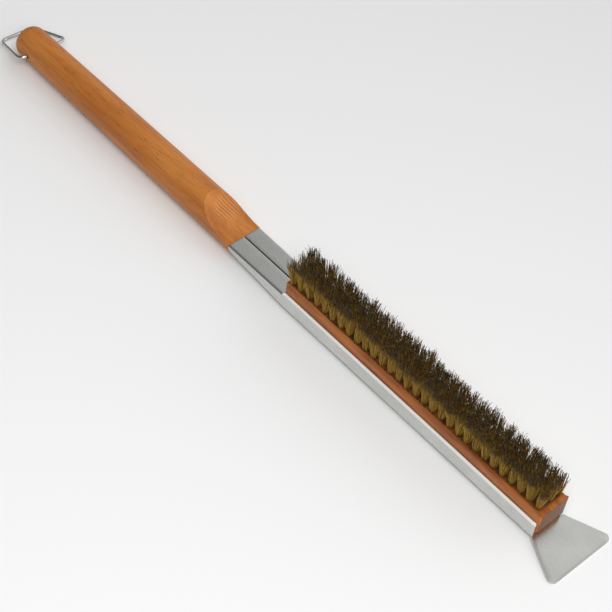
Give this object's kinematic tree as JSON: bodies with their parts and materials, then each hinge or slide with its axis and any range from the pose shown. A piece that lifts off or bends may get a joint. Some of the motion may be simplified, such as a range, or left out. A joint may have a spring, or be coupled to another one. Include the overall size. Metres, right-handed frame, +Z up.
{
  "type": "grill cleaning brush",
  "caption": "Long grill brush: round wooden handle with wire hanging ring, folded steel sleeve and channel, wooden block with rows of wire tufts, and a flared scraper tip.",
  "frame": {"origin": "centre of the length and width, on the surface the brush lies on with its bristles up", "axes": "+X along the brush from the handle's butt to the scraper, +Y across it, +Z up out of the bristles"},
  "size_m": [0.6682, 0.0624, 0.0534],
  "materials": {
    "handle_wood": "thin satin varnish",
    "block_wood": "oiled",
    "sheet_steel": "satin",
    "bright_wire": "bright",
    "bristle_wire": "dull",
    "staple_steel": "plain",
    "screw_steel": "plain"
  },
  "bodies": {
    "brush": {"handle": "handle_wood", "steel_frame": "sheet_steel", "brush_block": "block_wood", "bristle_row_left": "bristle_wire", "bristle_row_middle": "bristle_wire", "bristle_row_right": "bristle_wire", "tuft_staples": "staple_steel", "block_screws": "screw_steel", "sleeve_screws": "screw_steel"},
    "ring": {"hang_ring": "bright_wire"}
  },
  "joints": [
    {"name": "ring_hinge", "type": "hinge", "parent": "brush", "child": "ring", "pos_m": [-0.29138, 0, 0.0165], "axis": [0, 1, 0], "range_deg": [-138, 178]}
  ]
}
